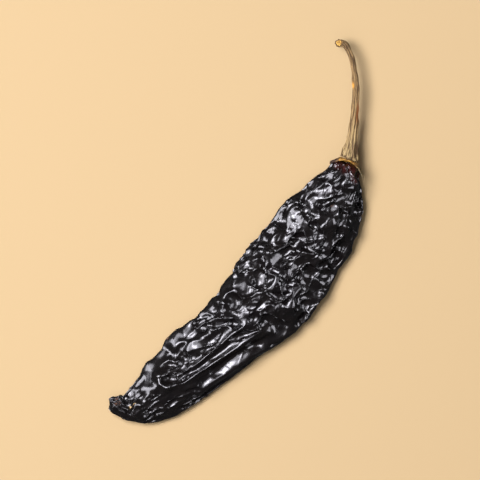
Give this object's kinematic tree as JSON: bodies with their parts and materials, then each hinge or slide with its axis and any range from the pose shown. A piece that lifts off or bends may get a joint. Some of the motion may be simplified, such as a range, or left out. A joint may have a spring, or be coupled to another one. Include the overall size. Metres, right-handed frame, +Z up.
{
  "type": "dried chilli pepper",
  "caption": "Long dried black chilli lying flat: a wrinkled glossy pod that narrows to a curled tip, a dry calyx and a woody curved stem with a hooked end.",
  "frame": {"origin": "middle of the footprint, on the surface that the chilli lies on", "axes": "+X from the pod's tip towards the stem, along the longest extent; +Z up, the shortest extent; +Y to the side that the stem bends to"},
  "size_m": [0.1919, 0.0661, 0.0187],
  "materials": {
    "pod_skin": "glossy, wrinkled dried skin",
    "calyx_skin": "dry, matte, amber at its edge",
    "stem_bark": "dry, matte, ridged lengthwise"
  },
  "bodies": {
    "root": {"pod": "pod_skin", "calyx": "calyx_skin", "stem": "stem_bark"}
  },
  "joints": []
}
